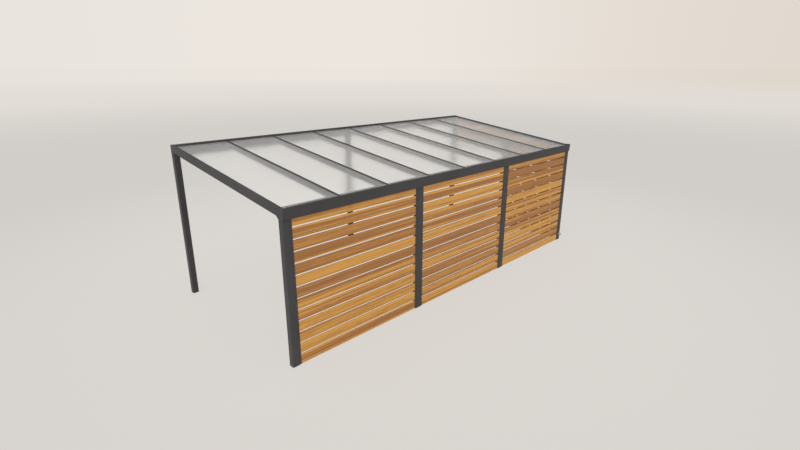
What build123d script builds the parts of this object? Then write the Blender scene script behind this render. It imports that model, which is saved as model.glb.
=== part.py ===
from build123d import *
import os
from math import atan2, cos, radians, sin

# A free-standing mono-pitch carport: a dark metal frame with a frosted glass roof, a long front
# side closed by timber slats between posts, a half-closed right end and two open sides.
# +X runs along the roof to the right, +Y from the slatted front to the open rear, +Z up.
# The origin is on the ground, at the middle of the whole object.

# Whole frame
roof_length = 7400.0        # from end to end, over the end rafters, the end caps and the posts
frame_depth = 3310.0        # front faces of the front posts to the back of the rear beam
front_height = 2249.0       # top edge of the gutter's fascia
rear_height = 2661.0        # top of the rear beam
seat_gap = 0.3              # play between two pieces that sit on or in each other
overrun = 5.0               # how far cutting shapes pass the faces they open

# Posts
post_width = 100.0          # along the front
post_depth = 90.0           # across the front
post_wall = 3.0
post_corner = 7.0           # outer corner radius

# Front gutter: a box beam under the trough, a leaning fascia, a rail for the rafters, end caps
gutter_height = 156.0
gutter_setback = 140.0      # back of the gutter behind the posts' front faces
gutter_wall = 4.0
gutter_chamfer = 46.0       # cut-off lower rear corner
gutter_trough_depth = 92.0  # trough floor below the fascia's top edge
gutter_outlet_radius = 27.0
gutter_cap_thickness = 16.0
fascia_base_reach = 14.0    # fascia in front of the posts at its base
fascia_top_reach = 29.0     # and at its top edge
fascia_wall = 4.0
fascia_lip_height = 8.0
fascia_edge = 3.0           # rounded top edge
rail_width = 24.0
rail_wall = 3.0

# Rear beam
rear_beam_height = 207.0
rear_beam_depth = 90.0
rear_beam_wall = 4.0
rear_beam_upstand = 27.0    # how far the beam stands above the glass
rear_cap_thickness = 4.0

# Rafters, glass, cover strips and end trims
field_count = 8
rafter_width = 60.0
rafter_depth = 88.0
rafter_wall = 3.0
nose_width = 14.0           # rib between two panes, which the cover strip is screwed to
glass_thickness = 10.0
glass_edge_gap = 3.0        # room between a pane and the nose beside it
glass_front_setback = 74.0  # lower glass edge behind the posts' front faces
glass_drop = 27.0           # lower glass edge below the fascia's top edge
cover_width = 40.0
cover_thickness = 5.0
cover_chamfer = 1.5
trim_width = 48.0           # edge profile along each end of the roof
trim_thickness = 20.0
trim_leg = 18.0             # its outer leg, which stands on the end rafter beside the glass
trim_chamfer = 2.0

# Slats and the channels that hold their ends
bay_count = 3
slat_height = 144.2
slat_spacing = 21.0         # open gap between two slats
slat_thickness = 19.0
slat_ground_gap = 2.0
slat_edge = 2.0             # eased long edges
slat_least_height = 30.0    # a narrower rip is left out
channel_reach = 38.0        # how far a channel covers the slat ends
channel_wall = 2.5
channel_setback = 5.0       # channel behind the posts' outer faces

# Right end wall
transom_room = 20.0         # least room from the transom's top up to the gutter's base
upper_slat_room = 120.0     # and up to the end rafter, at the rear post
transom_width = 60.0
transom_height = 130.0
transom_wall = 3.0

# Rain spout at the foot of the front right post
spout_radius = 30.0
spout_wall = 3.0
spout_height = 135.0        # axis above the ground
spout_collar = 20.0         # straight stretch outside the post
spout_bend_radius = 45.0
spout_turn = 45.0           # degrees, downwards

# Places that follow from the sizes
spout_reach = spout_collar + (spout_bend_radius + spout_radius) * sin(radians(spout_turn))
left_x = -roof_length / 2
right_x = roof_length / 2
front_y = -(frame_depth - spout_reach) / 2
rear_y = front_y + frame_depth
gutter_base_z = front_height - gutter_height
gutter_rear_y = front_y + gutter_setback
fascia_lean = fascia_top_reach - fascia_base_reach
fascia_lip_y = front_y - fascia_base_reach + fascia_wall    # plumb over the back of its foot
rail_front_y = gutter_rear_y - rail_width
trough_floor_z = front_height - gutter_trough_depth
rear_beam_front_y = rear_y - rear_beam_depth
rear_beam_base_z = rear_height - rear_beam_height

# The glass starts over the trough, behind the fascia, and climbs to the rear beam.
glass_front_y = front_y + glass_front_setback
glass_rear_y = rear_beam_front_y - glass_edge_gap
seat_drop = glass_thickness + seat_gap
glass_front_z = front_height - glass_drop
roof_run = rear_beam_front_y - glass_front_y
roof_rise = rear_height - rear_beam_upstand - glass_front_z
roof_pitch = atan2(roof_rise, roof_run)
slope_axis = Axis((0, 0, 0), (0, cos(roof_pitch), sin(roof_pitch)))
slope_normal = Axis((0, 0, 0), (0, -sin(roof_pitch), cos(roof_pitch)))
rafter_front_y = gutter_rear_y + seat_gap
rafter_rear_y = rear_beam_front_y - seat_gap
rafter_base_drop = seat_drop + rafter_depth

front_post_y = front_y + post_depth / 2
rear_post_y = rear_y - post_depth / 2
end_post_y = (front_post_y + rear_post_y) / 2
left_post_x = left_x + post_width / 2
right_post_x = right_x - post_width / 2
post_spacing = (right_post_x - left_post_x) / bay_count
front_post_xs = [left_post_x + bay * post_spacing for bay in range(bay_count + 1)]
middle_post_x = (left_post_x + right_post_x) / 2

field_width = (roof_length - rafter_width) / field_count
nose_xs = [left_x + rafter_width / 2 + field * field_width for field in range(field_count + 1)]

slat_pitch = slat_height + slat_spacing
channel_depth = slat_thickness + 2 * seat_gap + 2 * channel_wall
slat_face = channel_setback + channel_wall + seat_gap   # slat front behind the posts' outer faces
slat_end = channel_wall + seat_gap      # slat end away from the post's side
end_front_y = front_post_y + post_depth / 2     # the end wall's clear length, between two posts
end_rear_y = rear_post_y - post_depth / 2


def glass_top_z(y):
    return glass_front_z + (y - glass_front_y) * roof_rise / roof_run


def roof_z(y, drop):
    # height at y of a plane that lies the given distance below the glass, square to the slope
    return glass_top_z(y) - drop / cos(roof_pitch)


def sloped_band(front_end, rear_end, top_drop, thickness):
    # side view of a sloping piece with plumb ends, as four (y, z) corners
    return [
        (front_end, roof_z(front_end, top_drop)),
        (rear_end, roof_z(rear_end, top_drop)),
        (rear_end, roof_z(rear_end, top_drop + thickness)),
        (front_end, roof_z(front_end, top_drop + thickness)),
    ]


def slat_rows(first_z, limit_z):
    # base and height of each slat from first_z up; the last one is ripped to fit under limit_z
    rows = []
    base_z = first_z
    while base_z + slat_least_height < limit_z:
        rows.append((base_z, min(slat_height, limit_z - base_z)))
        base_z += slat_pitch
    return rows


end_rafter_base_z = roof_z(end_rear_y, rafter_base_drop + seat_gap)
transom_top_z = min(gutter_base_z - transom_room, end_rafter_base_z - upper_slat_room)
transom_base_z = transom_top_z - transom_height

os.makedirs("parts", exist_ok=True)


def save(piece, name):
    piece.label = name
    export_step(piece, f"parts/{name}.step")


# Posts

def make_post(center_x, center_y, top_z):
    with BuildPart() as post:
        with BuildSketch(Plane(origin=(center_x, center_y, 0))):
            RectangleRounded(post_width, post_depth, post_corner)
            RectangleRounded(
                post_width - 2 * post_wall,
                post_depth - 2 * post_wall,
                post_corner - post_wall,
                mode=Mode.SUBTRACT,
            )
        extrude(amount=top_z)
    return post.part


front_post_names = ["front_left_post", "front_second_post", "front_third_post"]
for name, center_x in zip(front_post_names, front_post_xs):
    save(make_post(center_x, front_post_y, gutter_base_z), name)

rear_post_names = ["rear_left_post", "rear_middle_post", "rear_right_post"]
for name, center_x in zip(rear_post_names, [left_post_x, middle_post_x, right_post_x]):
    save(make_post(center_x, rear_post_y, rear_beam_base_z), name)

# The end wall's own post carries the transom.
save(make_post(right_post_x, end_post_y, transom_base_z), "end_wall_post")

# The front right post carries the rain water: its front wall is bored for the spout.
with BuildPart() as drain_post:
    add(make_post(right_post_x, front_post_y, gutter_base_z))
    with BuildSketch(Plane.XZ.offset(-front_post_y)):
        with Locations((right_post_x, spout_height)):
            Circle(spout_radius + seat_gap)
    extrude(amount=post_depth, mode=Mode.SUBTRACT)
save(drain_post.part, "front_right_post")

# What stands under the right end rafter and the rear beam is cut to them by this block.
with BuildPart() as above_end_wall:
    with BuildSketch(Plane.YZ.offset(right_post_x - post_width)):
        with BuildLine():
            Polyline(
                (front_y, roof_z(front_y, rafter_base_drop + seat_gap)),
                (rafter_rear_y, roof_z(rafter_rear_y, rafter_base_drop + seat_gap)),
                (rafter_rear_y, rear_beam_base_z - seat_gap),
                (rear_y, rear_beam_base_z - seat_gap),
                (rear_y, rear_height + overrun),
                (front_y, rear_height + overrun),
                close=True,
            )
        make_face()
    extrude(amount=2 * post_width)


# Front gutter: its fascia leans out in front of the posts, and the trough lies between the
# fascia and the rail that the rafters butt against

def fascia_y(z, inset):
    # place at height z of a face that lies the given distance behind the fascia's front
    climb_share = (z - gutter_base_z) / gutter_height
    return front_y - fascia_base_reach - climb_share * fascia_lean + inset


def under_roof(y):
    # point just below the underside of the panes
    return (y, roof_z(y, seat_drop + seat_gap))


beam_inset = fascia_wall + seat_gap
gutter_length = roof_length - 2 * gutter_cap_thickness
gutter_left_x = left_x + gutter_cap_thickness

with BuildPart() as gutter_beam:
    with BuildSketch(Plane.YZ.offset(gutter_left_x)):
        with BuildLine():
            Polyline(
                (fascia_y(gutter_base_z, beam_inset), gutter_base_z),
                (fascia_y(trough_floor_z, beam_inset), trough_floor_z),
                (gutter_rear_y, trough_floor_z),
                (gutter_rear_y, gutter_base_z + gutter_chamfer),
                (gutter_rear_y - gutter_chamfer, gutter_base_z),
                close=True,
            )
        make_face()
        offset(amount=-gutter_wall, kind=Kind.INTERSECTION, mode=Mode.SUBTRACT)
    extrude(amount=gutter_length)
    # outlet over the front right post
    with BuildSketch(Plane.XY.offset(gutter_base_z - overrun)):
        with Locations((right_post_x, front_post_y)):
            Circle(gutter_outlet_radius)
    extrude(amount=trough_floor_z - gutter_base_z + 2 * overrun, mode=Mode.SUBTRACT)
save(gutter_beam.part, "front_gutter_beam")

with BuildPart() as fascia:
    with BuildSketch(Plane.YZ.offset(gutter_left_x)) as fascia_section:
        with BuildLine():
            lip_base_z = front_height - fascia_lip_height
            Polyline(
                (fascia_y(gutter_base_z, 0), gutter_base_z),
                (fascia_y(front_height, 0), front_height),
                (fascia_lip_y, front_height),
                (fascia_lip_y, lip_base_z),
                (fascia_y(lip_base_z, fascia_wall), lip_base_z),
                (fascia_y(gutter_base_z, fascia_wall), gutter_base_z),
                close=True,
            )
        make_face()
        fillet(fascia_section.vertices().sort_by(Axis.X)[0], fascia_edge)
    extrude(amount=gutter_length)
save(fascia.part, "gutter_fascia")

with BuildPart() as rail:
    with BuildSketch(Plane.YZ.offset(gutter_left_x)):
        with BuildLine():
            Polyline(
                (rail_front_y, trough_floor_z + seat_gap),
                under_roof(rail_front_y),
                under_roof(gutter_rear_y),
                (gutter_rear_y, trough_floor_z + seat_gap),
                close=True,
            )
        make_face()
        offset(amount=-rail_wall, kind=Kind.INTERSECTION, mode=Mode.SUBTRACT)
    extrude(amount=gutter_length)
save(rail.part, "rafter_rail")

gutter_caps = []
for cap_x in [left_x, right_x - gutter_cap_thickness]:
    with BuildPart() as gutter_cap:
        with BuildSketch(Plane.YZ.offset(cap_x)) as cap_section:
            with BuildLine():
                cap_step_y = glass_front_y - glass_edge_gap
                Polyline(
                    (fascia_y(gutter_base_z, 0), gutter_base_z),
                    (fascia_y(front_height, 0), front_height),
                    (cap_step_y, front_height),
                    under_roof(cap_step_y),
                    under_roof(gutter_rear_y),
                    (gutter_rear_y, gutter_base_z + gutter_chamfer),
                    (gutter_rear_y - gutter_chamfer, gutter_base_z),
                    close=True,
                )
            make_face()
            fillet(cap_section.vertices().sort_by(Axis.X)[0], fascia_edge)
        extrude(amount=gutter_cap_thickness)
    gutter_caps.append(gutter_cap.part)
save(Compound(children=gutter_caps), "gutter_end_caps")


# Rear beam: a rectangular tube with a plate over each end

rear_beam_center = (rear_y - rear_beam_depth / 2, rear_height - rear_beam_height / 2)

with BuildPart() as rear_beam:
    with BuildSketch(Plane.YZ.offset(left_x + rear_cap_thickness)):
        with Locations(rear_beam_center):
            Rectangle(rear_beam_depth, rear_beam_height)
            Rectangle(
                rear_beam_depth - 2 * rear_beam_wall,
                rear_beam_height - 2 * rear_beam_wall,
                mode=Mode.SUBTRACT,
            )
    extrude(amount=roof_length - 2 * rear_cap_thickness)
save(rear_beam.part, "rear_beam")

rear_caps = []
for cap_x in [left_x, right_x - rear_cap_thickness]:
    with BuildPart() as rear_cap:
        with BuildSketch(Plane.YZ.offset(cap_x)):
            with Locations(rear_beam_center):
                Rectangle(rear_beam_depth, rear_beam_height)
        extrude(amount=rear_cap_thickness)
    rear_caps.append(rear_cap.part)
save(Compound(children=rear_caps), "rear_beam_end_caps")


# Rafters: sloping tubes with a nose rib on top that separates the panes

def make_rafter(nose_x):
    low_x = nose_x - rafter_width / 2
    with BuildPart() as rafter:
        with BuildSketch(Plane.YZ.offset(low_x)):
            with BuildLine():
                Polyline(*sloped_band(rafter_front_y, rafter_rear_y, seat_drop, rafter_depth), close=True)
            make_face()
        extrude(amount=rafter_width)
        with BuildSketch(Plane.YZ.offset(low_x + rafter_wall)):
            with BuildLine():
                Polyline(
                    *sloped_band(
                        rafter_front_y - overrun,
                        rafter_rear_y + overrun,
                        seat_drop + rafter_wall,
                        rafter_depth - 2 * rafter_wall,
                    ),
                    close=True,
                )
            make_face()
        extrude(amount=rafter_width - 2 * rafter_wall, mode=Mode.SUBTRACT)
        with BuildSketch(Plane.YZ.offset(nose_x - nose_width / 2)):
            with BuildLine():
                Polyline(*sloped_band(glass_front_y, rafter_rear_y, 0, seat_drop), close=True)
            make_face()
        extrude(amount=nose_width)
    return rafter.part


for field in range(1, field_count):
    save(make_rafter(nose_xs[field]), f"rafter_{field}")
save(make_rafter(nose_xs[0]), "left_end_rafter")
save(make_rafter(nose_xs[-1]), "right_end_rafter")


# Roof glass: one pane to a field, on the rafters and between the noses

for field in range(field_count):
    pane_left_x = nose_xs[field] + nose_width / 2 + glass_edge_gap
    pane_right_x = nose_xs[field + 1] - nose_width / 2 - glass_edge_gap
    with BuildPart() as pane:
        with BuildSketch(Plane.YZ.offset(pane_left_x)):
            with BuildLine():
                Polyline(*sloped_band(glass_front_y, glass_rear_y, 0, glass_thickness), close=True)
            make_face()
        extrude(amount=pane_right_x - pane_left_x)
    save(pane.part, f"roof_panel_{field + 1}")


# Cover strips between the panes and edge trims along the roof's ends clamp the glass

def make_roof_strip(low_x, width, thickness, edge):
    with BuildPart() as strip:
        with BuildSketch(Plane.YZ.offset(low_x)):
            with BuildLine():
                strip_drop = -seat_gap - thickness
                Polyline(*sloped_band(glass_front_y, glass_rear_y, strip_drop, thickness), close=True)
            make_face()
        extrude(amount=width)
        top_face = strip.faces().filter_by(slope_normal).sort_by(Axis.Z)[-1]
        chamfer(top_face.edges().filter_by(slope_axis), edge)
    return strip.part


cover_strips = [
    make_roof_strip(nose_x - cover_width / 2, cover_width, cover_thickness, cover_chamfer)
    for nose_x in nose_xs[1:-1]
]
save(Compound(children=cover_strips), "roof_cover_strips")

end_trims = []
for trim_x, leg_x in [(left_x, left_x), (right_x - trim_width, right_x - trim_leg)]:
    with BuildPart() as trim:
        add(make_roof_strip(trim_x, trim_width, trim_thickness, trim_chamfer))
        with BuildSketch(Plane.YZ.offset(leg_x)):
            with BuildLine():
                Polyline(*sloped_band(glass_front_y, glass_rear_y, -seat_gap, seat_drop), close=True)
            make_face()
        extrude(amount=trim_leg)
    end_trims.append(trim.part)
save(Compound(children=end_trims), "roof_end_trims")


# Slatted front bays: slats lie with their ends in channels on the sides of the posts

def make_front_channel(low_x, web_x):
    # a channel section seen from above, open towards the bay, with its web against the post
    with BuildPart() as channel:
        with BuildSketch(Plane(origin=(low_x, front_y + channel_setback, 0))):
            Rectangle(channel_reach, channel_depth, align=(Align.MIN, Align.MIN))
            with Locations((web_x - low_x, channel_wall)):
                Rectangle(
                    channel_reach,
                    channel_depth - 2 * channel_wall,
                    align=(Align.MIN, Align.MIN),
                    mode=Mode.SUBTRACT,
                )
        extrude(amount=gutter_base_z)
    return channel.part


def make_front_slat(low_x, length, base_z, height):
    with BuildPart() as slat:
        with BuildSketch(Plane.YZ.offset(low_x)) as section:
            with Locations((front_y + slat_face + slat_thickness / 2, base_z + height / 2)):
                Rectangle(slat_thickness, height)
            chamfer(section.vertices(), slat_edge)
        extrude(amount=length)
    return slat.part


for bay in range(bay_count):
    bay_left_x = front_post_xs[bay] + post_width / 2
    bay_right_x = front_post_xs[bay + 1] - post_width / 2
    left_channel = make_front_channel(bay_left_x, bay_left_x + channel_wall)
    right_channel_x = bay_right_x - channel_reach
    right_channel = make_front_channel(right_channel_x, right_channel_x - channel_wall)
    save(Compound(children=[left_channel, right_channel]), f"front_channels_{bay + 1}")

    slats = [
        make_front_slat(bay_left_x + slat_end, bay_right_x - bay_left_x - 2 * slat_end, base_z, height)
        for base_z, height in slat_rows(slat_ground_gap, gutter_base_z - seat_gap)
    ]
    save(Compound(children=slats), f"front_slats_{bay + 1}")


# Right end wall: slats below a transom in its front half, an open passage in its rear half,
# and slats over the transom up to the rafter along the whole end

lower_rear_y = end_post_y - post_depth / 2

with BuildPart() as transom:
    with BuildSketch(Plane.XZ.offset(-end_rear_y + seat_gap)):
        with Locations((right_x - transom_width / 2, transom_base_z + transom_height / 2)):
            Rectangle(transom_width, transom_height)
            Rectangle(
                transom_width - 2 * transom_wall,
                transom_height - 2 * transom_wall,
                mode=Mode.SUBTRACT,
            )
    extrude(amount=end_rear_y - end_front_y - 2 * seat_gap)
save(transom.part, "end_wall_transom")


def make_end_channel(low_y, web_y, base_z, top_z):
    with BuildPart() as channel:
        with BuildSketch(Plane(origin=(right_x - channel_setback - channel_depth, low_y, base_z))):
            Rectangle(channel_depth, channel_reach, align=(Align.MIN, Align.MIN))
            with Locations((channel_wall, web_y - low_y)):
                Rectangle(
                    channel_depth - 2 * channel_wall,
                    channel_reach,
                    align=(Align.MIN, Align.MIN),
                    mode=Mode.SUBTRACT,
                )
        extrude(amount=top_z - base_z)
        add(above_end_wall.part, mode=Mode.SUBTRACT)
    return channel.part


def make_end_slat(slat_front_y, slat_rear_y, base_z, height):
    with BuildPart() as slat:
        with BuildSketch(Plane.XZ.offset(-slat_rear_y)) as section:
            with Locations((right_x - slat_face - slat_thickness / 2, base_z + height / 2)):
                Rectangle(slat_thickness, height)
            chamfer(section.vertices(), slat_edge)
        extrude(amount=slat_rear_y - slat_front_y)
        add(above_end_wall.part, mode=Mode.SUBTRACT)
    return slat.part


def end_channel_pair(low_y, high_y, base_z, top_z):
    front_channel = make_end_channel(low_y, low_y + channel_wall, base_z, top_z)
    rear_channel_y = high_y - channel_reach
    rear_channel = make_end_channel(rear_channel_y, rear_channel_y - channel_wall, base_z, top_z)
    return [front_channel, rear_channel]


lower_channels = end_channel_pair(end_front_y, lower_rear_y, 0, transom_base_z - seat_gap)
lower_slats = [
    make_end_slat(end_front_y + slat_end, lower_rear_y - slat_end, base_z, height)
    for base_z, height in slat_rows(slat_ground_gap, transom_base_z - seat_gap)
]
save(Compound(children=lower_slats), "end_lower_slats")

# Over the transom the slats start behind the gutter.
upper_channels = end_channel_pair(gutter_rear_y, end_rear_y, transom_top_z + seat_gap, rear_height)
upper_slats = [
    make_end_slat(gutter_rear_y + slat_end, end_rear_y - slat_end, base_z, height)
    for base_z, height in slat_rows(transom_top_z + slat_ground_gap, end_rafter_base_z)
]
save(Compound(children=lower_channels + upper_channels), "end_wall_channels")
save(Compound(children=upper_slats), "end_upper_slats")


# Rain spout: a short pipe out of the front right post, turned down at its mouth

with BuildPart() as spout:
    with BuildLine() as spout_path:
        outlet = Line(
            (right_post_x, front_y + post_wall, spout_height),
            (right_post_x, front_y - spout_collar, spout_height),
        )
        bend_center_z = spout_height - spout_bend_radius
        bend_angle = radians(spout_turn)
        mouth_y = front_y - spout_collar - spout_bend_radius * sin(bend_angle)
        mouth_z = bend_center_z + spout_bend_radius * cos(bend_angle)
        TangentArc(outlet @ 1, (right_post_x, mouth_y, mouth_z), tangent=outlet % 1)
    with BuildSketch(Plane(origin=outlet @ 0, z_dir=outlet % 0)):
        Circle(spout_radius)
        Circle(spout_radius - spout_wall, mode=Mode.SUBTRACT)
    sweep()
save(spout.part, "drain_spout")
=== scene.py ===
import math
import random

import bmesh
import bpy
from mathutils import Matrix, Vector, noise


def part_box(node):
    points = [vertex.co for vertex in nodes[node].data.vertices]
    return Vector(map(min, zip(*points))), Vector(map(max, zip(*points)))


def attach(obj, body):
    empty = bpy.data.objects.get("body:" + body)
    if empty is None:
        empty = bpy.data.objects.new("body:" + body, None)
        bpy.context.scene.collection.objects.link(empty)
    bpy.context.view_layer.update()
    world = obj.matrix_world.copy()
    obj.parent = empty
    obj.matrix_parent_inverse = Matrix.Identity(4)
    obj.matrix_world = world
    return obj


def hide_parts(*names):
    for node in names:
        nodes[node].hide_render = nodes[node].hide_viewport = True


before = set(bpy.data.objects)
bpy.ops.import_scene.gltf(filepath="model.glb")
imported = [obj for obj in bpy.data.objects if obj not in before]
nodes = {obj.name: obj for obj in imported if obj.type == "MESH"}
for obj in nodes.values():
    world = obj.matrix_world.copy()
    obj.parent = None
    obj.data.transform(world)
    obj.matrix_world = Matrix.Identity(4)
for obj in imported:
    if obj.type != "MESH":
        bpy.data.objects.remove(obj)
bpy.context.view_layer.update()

chance = random.Random(1547)
scene = bpy.context.scene
scene.view_settings.view_transform = "Standard"
print("frame loaded:", len(nodes), "nodes")


# shader sockets that can be used in sums

def setStops(ramp, stops):
    while len(ramp.elements) < len(stops):
        ramp.elements.new(0.5)
    for element, (place, colour) in zip(ramp.elements, stops):
        element.position = place
        element.color = colour


class Wire:
    def __init__(self, tree, socket=None):
        self.tree = tree
        self.socket = socket

    def node(self, kind, settings=None, sockets=None, out=0):
        made = self.tree.nodes.new(kind)
        for name, value in (settings or {}).items():
            if name == "stops":
                setStops(made.color_ramp, value)
            else:
                setattr(made, name, value)
        for key, value in (sockets or {}).items():
            if isinstance(value, Wire):
                self.tree.links.new(value.socket, made.inputs[key])
            else:
                made.inputs[key].default_value = value
        return Wire(self.tree, made.outputs[out] if made.outputs else None)

    def sum(self, operation, first, second):
        return self.node("ShaderNodeMath", {"operation": operation}, {0: first, 1: second})

    def __add__(self, other):
        return self.sum("ADD", self, other)

    def __sub__(self, other):
        return self.sum("SUBTRACT", self, other)

    def __rsub__(self, other):
        return self.sum("SUBTRACT", other, self)

    def __mul__(self, other):
        return self.sum("MULTIPLY", self, other)

    __radd__ = __add__
    __rmul__ = __mul__

    def ease(self, low, high, start=0.0, end=1.0):
        return self.node(
            "ShaderNodeMapRange",
            {"interpolation_type": "SMOOTHSTEP"},
            {0: self, 1: low, 2: high, 3: start, 4: end},
        )

    def tint(self, share, low, high, blend="MIX"):
        return self.node(
            "ShaderNodeMix",
            {"data_type": "RGBA", "blend_type": blend},
            {0: share, 6: low, 7: high},
            out=2,
        )

    def stretch(self, factors):
        return self.node("ShaderNodeVectorMath", {"operation": "MULTIPLY"}, {0: self, 1: factors})

    def cloud(self, scale, detail=2.0, roughness=0.5, distortion=0.0):
        sockets = {"Vector": self, "Scale": scale, "Detail": detail}
        sockets.update({"Roughness": roughness, "Distortion": distortion})
        return self.node("ShaderNodeTexNoise", None, sockets)

    def part(self, axis):
        return self.node("ShaderNodeSeparateXYZ", None, {0: self}, out="XYZ".index(axis))


def newFinish(name):
    finish = bpy.data.materials.new(name)
    finish.use_nodes = True
    finish.node_tree.nodes.clear()
    return finish, Wire(finish.node_tree)


def place(wire):
    return wire.node("ShaderNodeTexCoord", out="Object")


def bump(wire, height, strength, distance):
    return wire.node(
        "ShaderNodeBump", None, {"Height": height, "Strength": strength, "Distance": distance}
    )


# powder coat on the metal frame

coatLook = {
    "colour": (0.0525, 0.0525, 0.055, 1),
    "worn": (0.066, 0.066, 0.0675, 1),
    "dust": (0.17, 0.16, 0.145, 1),
    "roughness": 0.58,
    "weathered": 0.30,       # more roughness on faces that lie to the sky
    "grain": 850.0,          # specks to the metre
    "splashHeight": 0.22,
}


def makeCoat():
    finish, wire = newFinish("frame_powder_coat")
    spot = place(wire)
    facing = wire.node("ShaderNodeNewGeometry", out="Normal").part("Z")
    drift = spot.cloud(1.6, 4.0, 0.55)
    streaks = spot.stretch((9.0, 9.0, 0.7)).cloud(1.0, 3.0, 0.6)
    specks = spot.cloud(coatLook["grain"], 2.0, 0.6)
    height = spot.part("Z")
    lyingDust = facing.ease(0.55, 0.98) * drift.ease(0.35, 0.7) * 0.05
    splash = height.ease(0.0, coatLook["splashHeight"], 1.0, 0.0) * streaks.ease(0.4, 0.75) * 0.12
    colour = wire.tint(drift.ease(0.3, 0.75) * 0.6, coatLook["colour"], coatLook["worn"])
    colour = wire.tint(lyingDust + splash, colour, coatLook["dust"])
    roughness = coatLook["roughness"] + coatLook["weathered"] * facing.ease(0.2, 0.9)
    roughness = roughness + 0.16 * (streaks - 0.5) + 0.10 * (specks - 0.5) + 0.5 * splash
    shader = wire.node(
        "ShaderNodeBsdfPrincipled",
        None,
        {
            "Base Color": colour,
            "Roughness": roughness,
            "Normal": bump(wire, specks + 0.4 * spot.cloud(160.0, 2.0), 0.10, 0.0004),
            "Specular IOR Level": 0.20,
        },
    )
    wire.node("ShaderNodeOutputMaterial", None, {"Surface": shader})
    return finish


# satin frosted roof glass

glassLook = {
    "colour": (0.985, 0.987, 0.985, 1),
    "grime": (0.70, 0.68, 0.64, 1),
    "transmission": 0.882,
    "roughness": 0.25,
    "bend": 1.08,
    "lampShare": (0.30, 0.30, 0.297, 1),   # lamp light that gets through
}


def makeGlass(lowZ, highZ):
    finish, wire = newFinish("frosted_roof_glass")
    spot = place(wire)
    etch = spot.cloud(420.0, 2.0, 0.6)
    runs = spot.stretch((7.0, 0.5, 0.5)).cloud(1.0, 4.0, 0.6)     # faint rain runs down the slope
    lowEdge = spot.part("Z").ease(lowZ, lowZ + 0.16 * (highZ - lowZ), 1.0, 0.0)
    grime = (lowEdge * 0.5 + 0.25) * runs.ease(0.45, 0.8) * 0.15
    colour = wire.tint(grime, glassLook["colour"], glassLook["grime"])
    roughness = glassLook["roughness"] + 0.03 * (runs - 0.5) + 0.02 * (etch - 0.5) + 0.1 * grime
    shader = wire.node(
        "ShaderNodeBsdfPrincipled",
        None,
        {
            "Base Color": colour,
            "Roughness": roughness,
            "Transmission Weight": glassLook["transmission"],
            "IOR": glassLook["bend"],
            "Normal": bump(wire, etch, 0.01, 0.0002),
        },
    )
    clear = wire.node("ShaderNodeBsdfTransparent", None, {"Color": glassLook["lampShare"]})
    lampRay = wire.node("ShaderNodeLightPath", out="Is Shadow Ray")
    surface = wire.node("ShaderNodeMixShader", None, {0: lampRay, 1: shader, 2: clear})
    wire.node("ShaderNodeOutputMaterial", None, {"Surface": surface})
    return finish


# oiled larch boards

boardLook = {
    "golden": (0.660, 0.340, 0.072, 1),
    "tan": (0.495, 0.232, 0.057, 1),
    "brown": (0.400, 0.177, 0.051, 1),
    "dark": (0.355, 0.154, 0.046, 1),
    "line": (0.50, 0.42, 0.36, 1),      # thin dark grain lines
    "knot": (0.11, 0.045, 0.016, 1),
    "topBottomShade": (0.16, 0.13, 0.12, 1),      # painted shade on the narrow top and bottom faces
    "edgeRadius": 0.0025,
    "shrink": 0.0004,        # boards stay this far inside their solids
    "wander": 0.0005,        # sawn edges aren't quite straight
    "stations": 16,
    "sharpFrom": 50,
    "cutRoom": 0.0008,       # top boards stop this far under the rafter
    # tone and share of streaks
    "kinds": {
        "golden": (0.90, 0.36), "tan": (0.68, 0.55),
        "brown": (0.20, 0.42), "streaked": (0.52, 1.0),
    },
    "shares": (3, 3, 3, 4),  # how often each kind turns up
}


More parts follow.
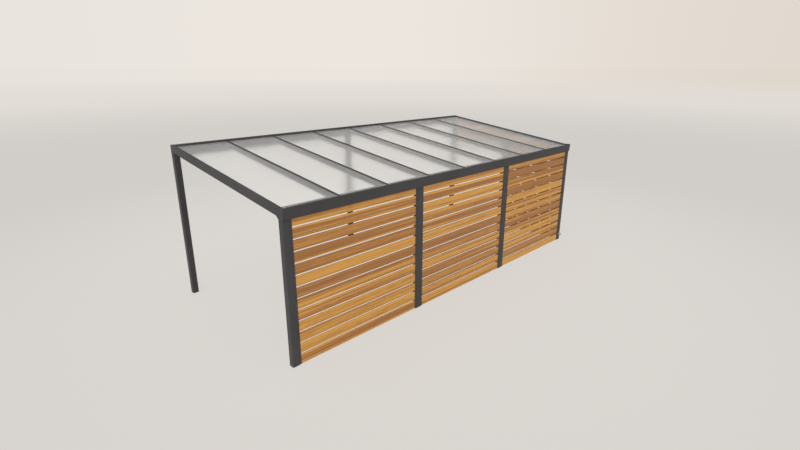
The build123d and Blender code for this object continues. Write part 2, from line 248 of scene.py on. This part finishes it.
def makeLarch():
    finish, wire = newFinish("oiled_larch_boards")
    grain = wire.node("ShaderNodeAttribute", {"attribute_name": "grainPlace"}, out="Vector")
    tone = wire.node("ShaderNodeAttribute", {"attribute_name": "boardTone"}, out="Fac")
    streaky = wire.node("ShaderNodeAttribute", {"attribute_name": "boardStreak"}, out="Fac")
    figure = grain.stretch((3.5, 26.0, 20.0)).cloud(1.0, 3.0, 0.55, 0.9)
    wide = grain.stretch((0.16, 22.0, 12.0)).cloud(1.0, 1.5, 0.5, 0.25)
    narrow = grain.stretch((0.35, 48.0, 30.0)).cloud(1.0, 2.0, 0.55, 0.3)
    lines = grain.stretch((0.5, 130.0, 90.0)).cloud(1.0, 2.0, 0.6, 0.2)
    fibre = grain.stretch((7.0, 620.0, 620.0)).cloud(1.0, 3.0, 0.6)
    bands = wide.ease(0.41, 0.59, -0.5, 0.5)
    gold = tone + streaky * (1.15 * bands + 1.6 * (narrow - 0.5))
    gold = gold + (narrow - 0.5) + (figure - 0.5)
    colour = wire.node(
        "ShaderNodeValToRGB",
        {"stops": [
            (0.0, boardLook["dark"]), (0.22, boardLook["brown"]),
            (0.55, boardLook["tan"]), (1.0, boardLook["golden"]),
        ]},
        {0: gold},
    )
    darkLines = (
        narrow.ease(0.58, 0.68) * (0.25 + 0.5 * streaky),
        lines.ease(0.58, 0.72) * 0.55,
        fibre.ease(0.45, 0.75) * 0.22,
    )
    for share in darkLines:
        colour = wire.tint(share, colour, boardLook["line"], "MULTIPLY")
    upward = wire.node("ShaderNodeNewGeometry", out="Normal").part("Z")
    # painted shade: the narrow top and bottom faces of the boards are darkened
    colour = wire.tint((upward * upward).ease(0.3, 0.9) * 0.2, colour, boardLook["topBottomShade"], "MULTIPLY")
    knotPlace = {"Vector": grain.stretch((1.7, 6.9, 6.9)), "Scale": 1.0}
    near = wire.node("ShaderNodeTexVoronoi", None, knotPlace)
    rarity = wire.node("ShaderNodeTexVoronoi", None, knotPlace, out="Color").part("X")
    knots = near.ease(0.04, 0.11, 1.0, 0.0) * rarity.ease(0.90, 0.93)
    colour = wire.tint(knots * 0.75, colour, boardLook["knot"])
    roughness = 0.50 + 0.18 * (fibre - 0.5) + 0.10 * (wide - 0.5) - 0.1 * knots
    shader = wire.node(
        "ShaderNodeBsdfPrincipled",
        None,
        {
            "Base Color": colour,
            "Roughness": roughness,
            "Normal": bump(wire, fibre + 0.5 * lines, 0.22, 0.0006),
            "Specular IOR Level": 0.35,
        },
    )
    wire.node("ShaderNodeOutputMaterial", None, {"Surface": shader})
    return finish


# small finishes: spout plastic, rubber seals, coated screws

def makePlain(name, colour, other, roughness, scale, height):
    finish, wire = newFinish(name)
    spot = place(wire)
    drift = spot.cloud(scale * 0.05, 3.0)
    specks = spot.cloud(scale, 2.0, 0.6)
    shader = wire.node(
        "ShaderNodeBsdfPrincipled",
        None,
        {
            "Base Color": wire.tint(drift.ease(0.3, 0.75), colour, other),
            "Roughness": roughness + 0.2 * (specks - 0.5) + 0.1 * (drift - 0.5),
            "Normal": bump(wire, specks, 0.12, height),
        },
    )
    wire.node("ShaderNodeOutputMaterial", None, {"Surface": shader})
    return finish


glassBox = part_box("roof_panel_1")
coat = makeCoat()
glass = makeGlass(glassBox[0].z, glassBox[1].z)
larch = makeLarch()
spoutGrey = makePlain("spout_grey", (0.40, 0.41, 0.42, 1), (0.32, 0.32, 0.32, 1), 0.42, 700.0, 0.0003)
sealRubber = makePlain("seal_rubber", (0.018, 0.018, 0.019, 1), (0.03, 0.03, 0.03, 1), 0.62, 500.0, 0.0003)
screwCoat = makePlain("screw_coat", (0.05, 0.05, 0.052, 1), (0.09, 0.09, 0.09, 1), 0.35, 900.0, 0.0002)
print("finishes made")


# finishes on the pieces that stay as they came

def wear(piece, finish):
    piece.data.materials.clear()
    piece.data.materials.append(finish)


softEdge = {"width": 0.0012, "segments": 2, "weld": 0.00002, "sharpFrom": 40}


def roundEdges(piece):
    weld = piece.modifiers.new("joined corners", "WELD")
    weld.merge_threshold = softEdge["weld"]
    edge = piece.modifiers.new("eased edges", "BEVEL")
    edge.width = softEdge["width"]
    edge.segments = softEdge["segments"]
    edge.limit_method = "ANGLE"
    edge.angle_limit = math.radians(softEdge["sharpFrom"])
    edge.harden_normals = True


sharpPieces = (
    "gutter_fascia", "gutter_end_caps", "front_gutter_beam", "rafter_rail",
    "rear_beam", "rear_beam_end_caps", "roof_cover_strips", "roof_end_trims",
    "end_wall_transom", "end_wall_channels",
    "front_channels_1", "front_channels_2", "front_channels_3",
)
for name, piece in nodes.items():
    if name.startswith("roof_panel"):
        wear(piece, glass)
    elif name == "drain_spout":
        wear(piece, spoutGrey)
    elif "slats" not in name:
        wear(piece, coat)
    if name in sharpPieces or "rafter" in name:
        roundEdges(piece)
print("frame and glass finished")


# boards in the place of the slats

def newPiece(name, mesh, finish):
    piece = bpy.data.objects.new(name, mesh)
    scene.collection.objects.link(piece)
    wear(piece, finish)
    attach(piece, "root")
    return piece


def islandBoxes(node):
    # lowest and highest corner of each board of a slat solid
    work = bmesh.new()
    work.from_mesh(nodes[node].data)
    bmesh.ops.remove_doubles(work, verts=work.verts, dist=softEdge["weld"])
    left = set(work.verts)
    boxes = []
    while left:
        start = left.pop()
        group, queue = [start], [start]
        while queue:
            for edge in queue.pop().link_edges:
                for vert in edge.verts:
                    if vert in left:
                        left.remove(vert)
                        group.append(vert)
                        queue.append(vert)
        low = Vector(min(v.co[i] for v in group) for i in range(3))
        high = Vector(max(v.co[i] for v in group) for i in range(3))
        boxes.append((low, high))
    work.free()
    return sorted(boxes, key=lambda box: (box[0].z, box[0].y, box[0].x))


def roundedSection(halfWide, halfHigh, radius, steps=3):
    points = []
    for corner, (signWide, signHigh) in enumerate(((1, 1), (-1, 1), (-1, -1), (1, -1))):
        for step in range(steps + 1):
            angle = math.pi / 2 * (corner + step / steps)
            points.append((
                signWide * (halfWide - radius) + radius * math.cos(angle),
                signHigh * (halfHigh - radius) + radius * math.sin(angle),
            ))
    return points


def addBoard(work, low, high, lengthAxis, layers, kind, roofCut):
    wideAxis = 1 - lengthAxis
    size = high - low
    middle = (low + high) / 2
    inset = boardLook["shrink"]
    seed = Vector((chance.uniform(0, 90), chance.uniform(0, 20), chance.uniform(0, 20)))
    tone, streak = boardLook["kinds"][kind]
    tone += chance.uniform(-0.06, 0.06)
    stations = boardLook["stations"]
    made, rings = [], []
    for station in range(stations + 1):
        share = station / stations
        along = low[lengthAxis] + inset + share * (size[lengthAxis] - 2 * inset)
        lift = boardLook["wander"] * noise.noise(Vector((along * 1.3 + seed.x, seed.y, 0)))
        ring = []
        for wide, tall in roundedSection(
            size[wideAxis] / 2 - inset, size.z / 2 - inset - boardLook["wander"], boardLook["edgeRadius"]
        ):
            point = Vector((0, 0, middle.z + tall + lift))
            point[lengthAxis] = along
            point[wideAxis] = middle[wideAxis] + wide
            vert = work.verts.new(point)
            ring.append(vert)
            made.append(vert)
        rings.append(ring)
    count = len(rings[0])
    faces = [work.faces.new(rings[0]), work.faces.new(rings[-1])]
    for first, second in zip(rings, rings[1:]):
        for i in range(count):
            after = (i + 1) % count
            faces.append(work.faces.new((first[i], first[after], second[after], second[i])))
    bmesh.ops.recalc_face_normals(work, faces=faces)
    if roofCut:
        edges = {edge for face in faces for edge in face.edges}
        cut = bmesh.ops.bisect_plane(
            work, geom=made + list(edges) + faces,
            plane_co=roofCut[0], plane_no=roofCut[1], clear_outer=True,
        )
        rim = [g for g in cut["geom_cut"] if isinstance(g, bmesh.types.BMEdge)]
        if rim:
            bmesh.ops.contextual_create(work, geom=rim)
        made = [v for v in work.verts if v[layers[2]] == 0.0]
    for vert in made:
        vert[layers[0]] = Vector((vert.co[lengthAxis], vert.co.z, vert.co[wideAxis])) + seed
        vert[layers[1]] = tone
        vert[layers[2]] = streak


def makeBoards(name, node, lengthAxis, roofCut=None):
    work = bmesh.new()
    layers = (
        work.verts.layers.float_vector.new("grainPlace"),
        work.verts.layers.float.new("boardTone"),
        work.verts.layers.float.new("boardStreak"),
    )
    boxes = islandBoxes(node)
    kinds = chance.choices(list(boardLook["kinds"]), weights=boardLook["shares"], k=len(boxes))
    for (low, high), kind in zip(boxes, kinds):
        addBoard(work, low, high, lengthAxis, layers, kind, roofCut)
    mesh = bpy.data.meshes.new(name)
    work.to_mesh(mesh)
    work.free()
    mesh.polygons.foreach_set("use_smooth", [True] * len(mesh.polygons))
    mesh.set_sharp_from_angle(angle=math.radians(boardLook["sharpFrom"]))
    piece = newPiece(name, mesh, larch)
    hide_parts(node)


# underside of the right end rafter, which the top boards are cut to
touch = 0.001    # points this near to a plane lie on it
rafterPoints = [v.co for v in nodes["right_end_rafter"].data.vertices]
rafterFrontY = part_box("rafter_rail")[1].y + touch
rafterLow = min((p for p in rafterPoints if p.y < rafterFrontY), key=lambda p: p.z)
rafterRear = max(p.y for p in rafterPoints)
rafterHigh = min((p for p in rafterPoints if p.y > rafterRear - touch), key=lambda p: p.z)
slope = rafterHigh - rafterLow
slope.x = 0
slope.normalize()
roofNormal = Vector((0, -slope.z, slope.y))
roofCut = (rafterLow - roofNormal * boardLook["cutRoom"], roofNormal)

for bay in (1, 2, 3):
    makeBoards(f"front_boards_{bay}", f"front_slats_{bay}", 0)
makeBoards("end_lower_boards", "end_lower_slats", 1)
makeBoards("end_upper_boards", "end_upper_slats", 1, roofCut)
print("boards made")


# glazing seals: rubber lips along the cover strips and end trims, and along the rear beam

sealLook = {
    "lip": 0.002, "height": 0.0022, "rearWidth": 0.0035, "rearHeight": 0.002,
    "lift": 0.0001,          # off the glass
    "frontRoom": 0.002, "rearRoom": 0.015,    # the lips stop short of the glass edges
    "endRoom": 0.02,
    "rearGap": 0.0027,       # past the glass, to the beam's upstand
    "rearSink": 0.004, "rearFoot": 0.0005,    # its foot hangs behind the glass edge
    "rearTip": 0.0002,
}

panelPoints = [v.co for v in nodes["roof_panel_1"].data.vertices]
glassFrontY, glassRearY = glassBox[0].y, glassBox[1].y
glassFrontZ = max(p.z for p in panelPoints if p.y < glassFrontY + touch)
glassRearZ = glassBox[1].z


def glassZ(y):
    return glassFrontZ + (y - glassFrontY) * (glassRearZ - glassFrontZ) / (glassRearY - glassFrontY)


def addStrip(work, sections):
    # skin through a list of closed sections
    rings = [[work.verts.new(point) for point in section] for section in sections]
    count = len(rings[0])
    work.faces.new(rings[0])
    work.faces.new(list(reversed(rings[-1])))
    for first, second in zip(rings, rings[1:]):
        for i in range(count):
            after = (i + 1) % count
            work.faces.new((first[i], second[i], second[after], first[after]))


def lipSection(x, side, y):
    base = glassZ(y) + sealLook["lift"]
    lip, height = sealLook["lip"], sealLook["height"]
    outline = (
        (0, 0), (lip, 0), (lip, height * 0.35),
        (lip * 0.75, height * 0.75), (lip * 0.35, height), (0, height),
    )
    return [Vector((x + side * wide, y, base + tall)) for wide, tall in outline]


def stripEdges(node):
    # left and right edge of each strip of a node
    return [(low.x, high.x) for low, high in islandBoxes(node)]


seals = bmesh.new()
lipEdges = []
for left, right in stripEdges("roof_cover_strips"):
    lipEdges += [(left, -1), (right, 1)]
trims = sorted(stripEdges("roof_end_trims"))
lipEdges += [(trims[0][1], 1), (trims[1][0], -1)]
lipEnds = (glassFrontY + sealLook["frontRoom"], glassRearY - sealLook["rearRoom"])
for x, side in lipEdges:
    addStrip(seals, [lipSection(x, side, y) for y in lipEnds])
rearY = glassRearY + sealLook["rearGap"]
wide, tall = sealLook["rearWidth"], sealLook["rearHeight"]
rearOutline = (
    (0, -sealLook["rearSink"]), (0, tall),
    (-wide * 0.3, tall * 0.85), (-wide * 0.7, tall * 0.45), (-wide, sealLook["rearTip"]),
)
for panel in range(1, 9):
    low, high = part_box(f"roof_panel_{panel}")
    sections = []
    for x in (low.x + sealLook["endRoom"], high.x - sealLook["endRoom"]):
        points = [Vector((x, rearY + y, glassZ(rearY + y) + z)) for y, z in rearOutline]
        points[0].y = glassRearY + sealLook["rearFoot"]
        sections.append(points)
    addStrip(seals, sections)
bmesh.ops.recalc_face_normals(seals, faces=seals.faces)
sealMesh = bpy.data.meshes.new("glazing_seals")
seals.to_mesh(sealMesh)
seals.free()
newPiece("glazing_seals", sealMesh, sealRubber)
print("seals made")


# screws that hold the slat channels

screwLook = {"radius": 0.0046, "height": 0.0022, "sides": 12, "room": 0.012}    # room at channel ends


def addScrew(work, spot, normal):
    radius, height, sides = screwLook["radius"], screwLook["height"], screwLook["sides"]
    # domed head with a round socket
    profile = (
        (radius, 0.0), (radius * 0.98, height * 0.35), (radius * 0.8, height * 0.8),
        (radius * 0.5, height), (radius * 0.44, height), (radius * 0.40, height * 0.35),
    )
    turn = normal.to_track_quat("Z", "Y").to_matrix()
    rings = []
    for reach, rise in profile:
        ring = []
        for side in range(sides):
            angle = 2 * math.pi * side / sides
            point = Vector((reach * math.cos(angle), reach * math.sin(angle), rise))
            ring.append(work.verts.new(spot + turn @ point))
        rings.append(ring)
    for first, second in zip(rings, rings[1:]):
        for i in range(sides):
            after = (i + 1) % sides
            work.faces.new((first[i], first[after], second[after], second[i]))
    work.faces.new(rings[-1])


screws = bmesh.new()
for bay in (1, 2, 3):
    low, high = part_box(f"front_channels_{bay}")
    channelWide = islandBoxes(f"front_channels_{bay}")[0]
    reach = (channelWide[1].x - channelWide[0].x) / 2
    for board in islandBoxes(f"front_slats_{bay}"):
        z = (board[0].z + board[1].z) / 2
        for x in (low.x + reach, high.x - reach):
            addScrew(screws, Vector((x, low.y, z)), Vector((0, -1, 0)))
endBoards = islandBoxes("end_lower_slats") + islandBoxes("end_upper_slats")
for low, high in islandBoxes("end_wall_channels"):
    y = (low.y + high.y) / 2
    for board in endBoards:
        z = (board[0].z + board[1].z) / 2
        inChannel = low.z + screwLook["room"] < z < high.z - screwLook["room"]
        if inChannel and board[0].y < high.y and board[1].y > low.y:
            addScrew(screws, Vector((high.x, y, z)), Vector((1, 0, 0)))
screwMesh = bpy.data.meshes.new("channel_screws")
screws.to_mesh(screwMesh)
screws.free()
newPiece("channel_screws", screwMesh, screwCoat)
print("screws made")


# rubber ring where the spout leaves the post

ringLook = {"thickness": 0.004, "around": 32, "sides": 8}
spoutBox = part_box("drain_spout")
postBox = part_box("front_right_post")
spoutRadius = (spoutBox[1].x - spoutBox[0].x) / 2
thick, around, sides = ringLook["thickness"], ringLook["around"], ringLook["sides"]
ringMiddle = Vector((
    (spoutBox[0].x + spoutBox[1].x) / 2, postBox[0].y - thick, spoutBox[1].z - spoutRadius,
))
ring = bmesh.new()
loops = []
for turn in range(around):
    angle = 2 * math.pi * turn / around
    out = Vector((math.cos(angle), 0, math.sin(angle)))
    loop = []
    for side in range(sides):
        roll = 2 * math.pi * side / sides
        reach = spoutRadius + thick * (1.05 + math.cos(roll))
        point = ringMiddle + out * reach + Vector((0, thick * math.sin(roll), 0))
        loop.append(ring.verts.new(point))
    loops.append(loop)
for first, second in zip(loops, loops[1:] + loops[:1]):
    for i in range(sides):
        after = (i + 1) % sides
        ring.faces.new((first[i], second[i], second[after], first[after]))
bmesh.ops.recalc_face_normals(ring, faces=ring.faces)
ringMesh = bpy.data.meshes.new("spout_ring")
ring.to_mesh(ringMesh)
ring.free()
ringMesh.polygons.foreach_set("use_smooth", [True] * len(ringMesh.polygons))
newPiece("spout_ring", ringMesh, sealRubber)
print("spout ring made")


# pale floor, world and lamps

stageLook = {
    # the near and far floor colours hold a painted pool of light: lighter near the carport, darker further
    # out
    "near": (0.724, 0.694, 0.659, 1),
    "far": (0.645, 0.624, 0.592, 1),
    "haze": (0.765, 0.725, 0.686, 1),
    "airLeft": (0.810, 0.778, 0.730, 1),
    "airMiddle": (0.845, 0.792, 0.738, 1),
    "airRight": (0.745, 0.680, 0.610, 1),
    "shadeShare": 0.17,      # the rest of the floor shows its colour without shade
    "paint": 0.83,           # brings the lit floor to the same tone
    "halfSize": 3000.0,
    "floorZ": -0.001,
    "sky": (1.0, 0.985, 0.965, 1),
    "skyStrength": 0.80,
    "roofStrength": 0.20,
    "keyStrength": 1.7,
    "keyColour": (1.0, 0.985, 0.96),
    "keyFrom": (-0.70, -0.40, 0.60),
    "keyAngle": 60.0,
}


def seenRay(wire):
    # one for what the camera sees, also by a mirror image or through the glass
    rays = wire.node("ShaderNodeLightPath", out="Is Camera Ray")
    rays = rays + wire.node("ShaderNodeLightPath", out="Is Glossy Ray")
    rays = rays + wire.node("ShaderNodeLightPath", out="Is Transmission Ray")
    return wire.sum("MINIMUM", rays, 1.0)


def airTone(wire, across):
    # pale on the left, warmer on the right
    colour = wire.tint(across.ease(-1.0, -0.2), stageLook["airLeft"], stageLook["airMiddle"])
    return wire.tint(across.ease(-0.1, 1.1), colour, stageLook["airRight"])


def makeFloor():
    finish, wire = newFinish("studio_floor")
    spot = place(wire)
    way = wire.node("ShaderNodeVectorMath", {"operation": "NORMALIZE"}, {0: spot})
    distance = wire.node("ShaderNodeVectorMath", {"operation": "LENGTH"}, {0: spot}, out="Value")
    # painted pool of light: the floor is lighter near the carport and darker further out
    colour = wire.tint(distance.ease(2.5, 13.0), stageLook["near"], stageLook["far"])
    colour = wire.tint(distance.ease(18.0, 62.0), colour, stageLook["haze"])
    colour = wire.tint(distance.ease(40.0, 190.0), colour, airTone(wire, way.part("X") - way.part("Y")))
    painted = wire.tint(1.0, colour, (stageLook["paint"],) * 3 + (1,), "MULTIPLY")
    seen = seenRay(wire)
    matt = wire.node("ShaderNodeBsdfDiffuse", None, {"Color": painted})
    own = wire.node("ShaderNodeEmission", None, {"Color": colour, "Strength": 1.0})
    ownShare = seen * (1 - stageLook["shadeShare"])
    surface = wire.node("ShaderNodeMixShader", None, {0: ownShare, 1: matt, 2: own})
    wire.node("ShaderNodeOutputMaterial", None, {"Surface": surface})
    return finish


half = stageLook["halfSize"]
floorMesh = bpy.data.meshes.new("studio_floor")
signs = ((-1, -1), (1, -1), (1, 1), (-1, 1))
corners = [(x * half, y * half, stageLook["floorZ"]) for x, y in signs]
floorMesh.from_pydata(corners, [], [(0, 1, 2, 3)])
floor = bpy.data.objects.new("studio_floor", floorMesh)
scene.collection.objects.link(floor)
wear(floor, makeFloor())

world = bpy.data.worlds.new("studio_air")
world.use_nodes = True
world.node_tree.nodes.clear()
scene.world = world
air = Wire(world.node_tree)
way = air.node("ShaderNodeTexCoord", out="Generated")
skyColour = airTone(air, way.part("X") - way.part("Y"))
seenAir = seenRay(air)
seenLight = air.node("ShaderNodeBackground", None, {"Color": skyColour, "Strength": 1.0})
softSky = {"Color": stageLook["sky"], "Strength": stageLook["skyStrength"]}
softLight = air.node("ShaderNodeBackground", None, softSky)
airLight = air.node("ShaderNodeMixShader", None, {0: seenAir, 1: softLight, 2: seenLight})
# the frosted roof lets less of the sky down to the boards
bounced = air.sum("MINIMUM", air.node("ShaderNodeLightPath", out="Diffuse Depth"), 1.0)
throughRoof = bounced * air.node("ShaderNodeLightPath", out="Is Transmission Ray")
roofSky = {"Color": stageLook["sky"], "Strength": stageLook["roofStrength"]}
roofLight = air.node("ShaderNodeBackground", None, roofSky)
airLight = air.node("ShaderNodeMixShader", None, {0: throughRoof, 1: airLight, 2: roofLight})
air.node("ShaderNodeOutputWorld", None, {"Surface": airLight})

key = bpy.data.lights.new("soft_key", "SUN")
key.energy = stageLook["keyStrength"]
key.angle = math.radians(stageLook["keyAngle"])
key.color = stageLook["keyColour"]
keyLamp = bpy.data.objects.new("soft_key", key)
scene.collection.objects.link(keyLamp)
keyLamp.rotation_euler = Vector(stageLook["keyFrom"]).to_track_quat("Z", "Y").to_euler()
print("stage and light made")


# camera at the photo's place

view = {
    "place": (-6.6564, -6.6076, 3.8711),
    "yaw": 45.0297,
    "pitch": -18.0509,
    "roll": 0.0558,
    "focal": 482.7784,       # in pixels
    "pictureWide": 800,
    "sensor": 36,
    "reach": 8000,           # past the floor's far corner
}
yaw, pitch, roll = (math.radians(view[k]) for k in ("yaw", "pitch", "roll"))
ahead = Vector((math.cos(pitch) * math.sin(yaw), math.cos(pitch) * math.cos(yaw), math.sin(pitch)))
level = Vector((math.cos(yaw), -math.sin(yaw), 0))
upright = level.cross(ahead)
right = math.cos(roll) * level + math.sin(roll) * upright
up = -math.sin(roll) * level + math.cos(roll) * upright
lens = bpy.data.cameras.new("photo_view")
lens.sensor_width = view["sensor"]
lens.lens = view["focal"] / view["pictureWide"] * view["sensor"]
lens.clip_end = view["reach"]
camera = bpy.data.objects.new("photo_view", lens)
scene.collection.objects.link(camera)
camera.matrix_world = Matrix((
    (right.x, up.x, -ahead.x, view["place"][0]),
    (right.y, up.y, -ahead.y, view["place"][1]),
    (right.z, up.z, -ahead.z, view["place"][2]),
    (0, 0, 0, 1),
))
scene.camera = camera
print("camera set")
